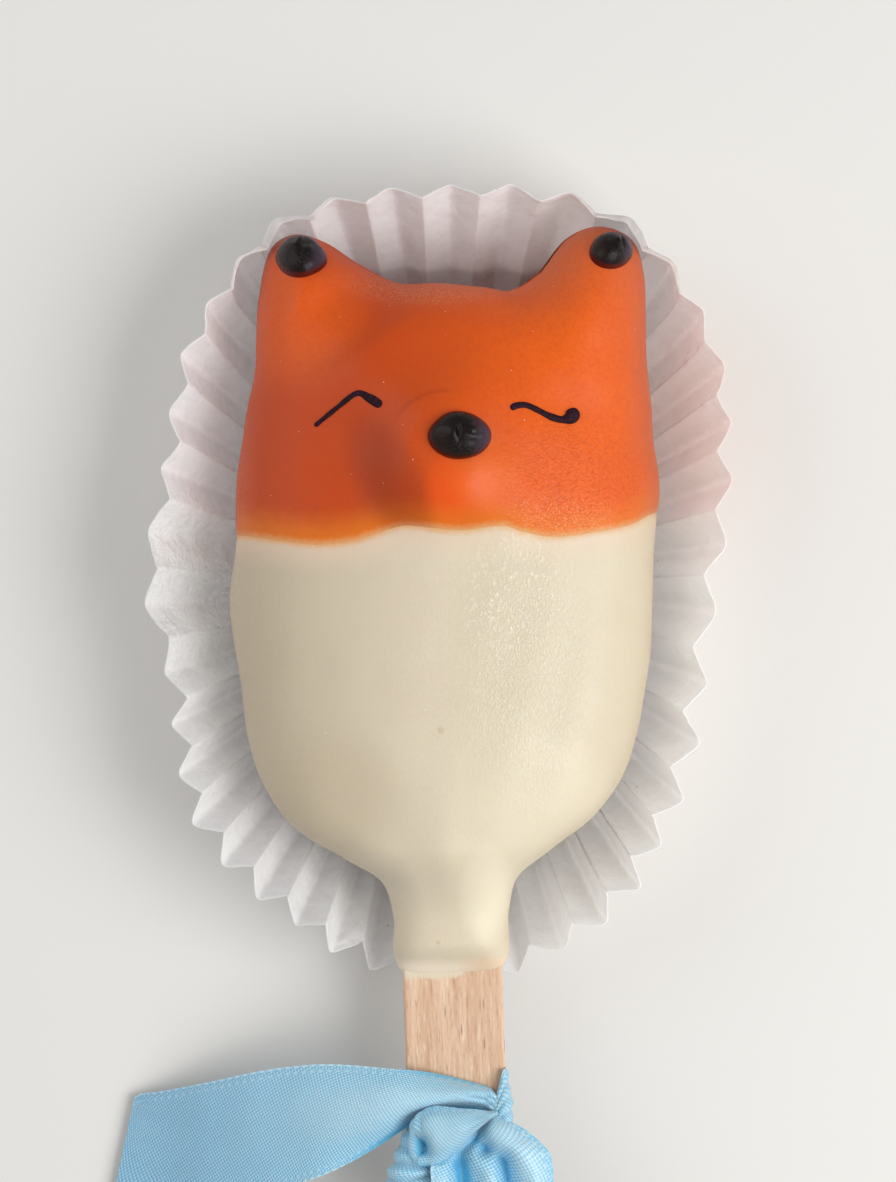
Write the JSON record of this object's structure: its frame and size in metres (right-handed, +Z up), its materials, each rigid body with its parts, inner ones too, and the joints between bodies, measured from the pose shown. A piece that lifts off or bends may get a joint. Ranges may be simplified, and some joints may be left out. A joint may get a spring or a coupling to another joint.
{
  "type": "cakesicle",
  "caption": "Cake on a wooden stick, coated in orange and cream with a sleeping animal's face, lying in a pleated paper cup, with a satin ribbon knotted round the stick.",
  "frame": {"origin": "middle of the paper cup's floor, on its underside, which the part rests on", "axes": "+X across the face to its right as seen from above, +Y from the stick to the ears, +Z up out of the face"},
  "size_m": [0.0633, 0.1319, 0.0256],
  "materials": {
    "orange_coat": "satin",
    "cream_coat": "satin",
    "dark_chocolate": "satin",
    "dark_line": "matte",
    "stick_wood": "matte",
    "cup_paper": "matte",
    "blue_satin": "satin"
  },
  "bodies": {
    "root": {"head_orange": "orange_coat", "body_cream": "cream_coat", "nose": "dark_chocolate", "ear_tip_left": "dark_chocolate", "ear_tip_right": "dark_chocolate", "eye_left": "dark_line", "eye_right": "dark_line", "stick": "stick_wood", "paper_cup": "cup_paper", "ribbon": "blue_satin"}
  },
  "joints": []
}
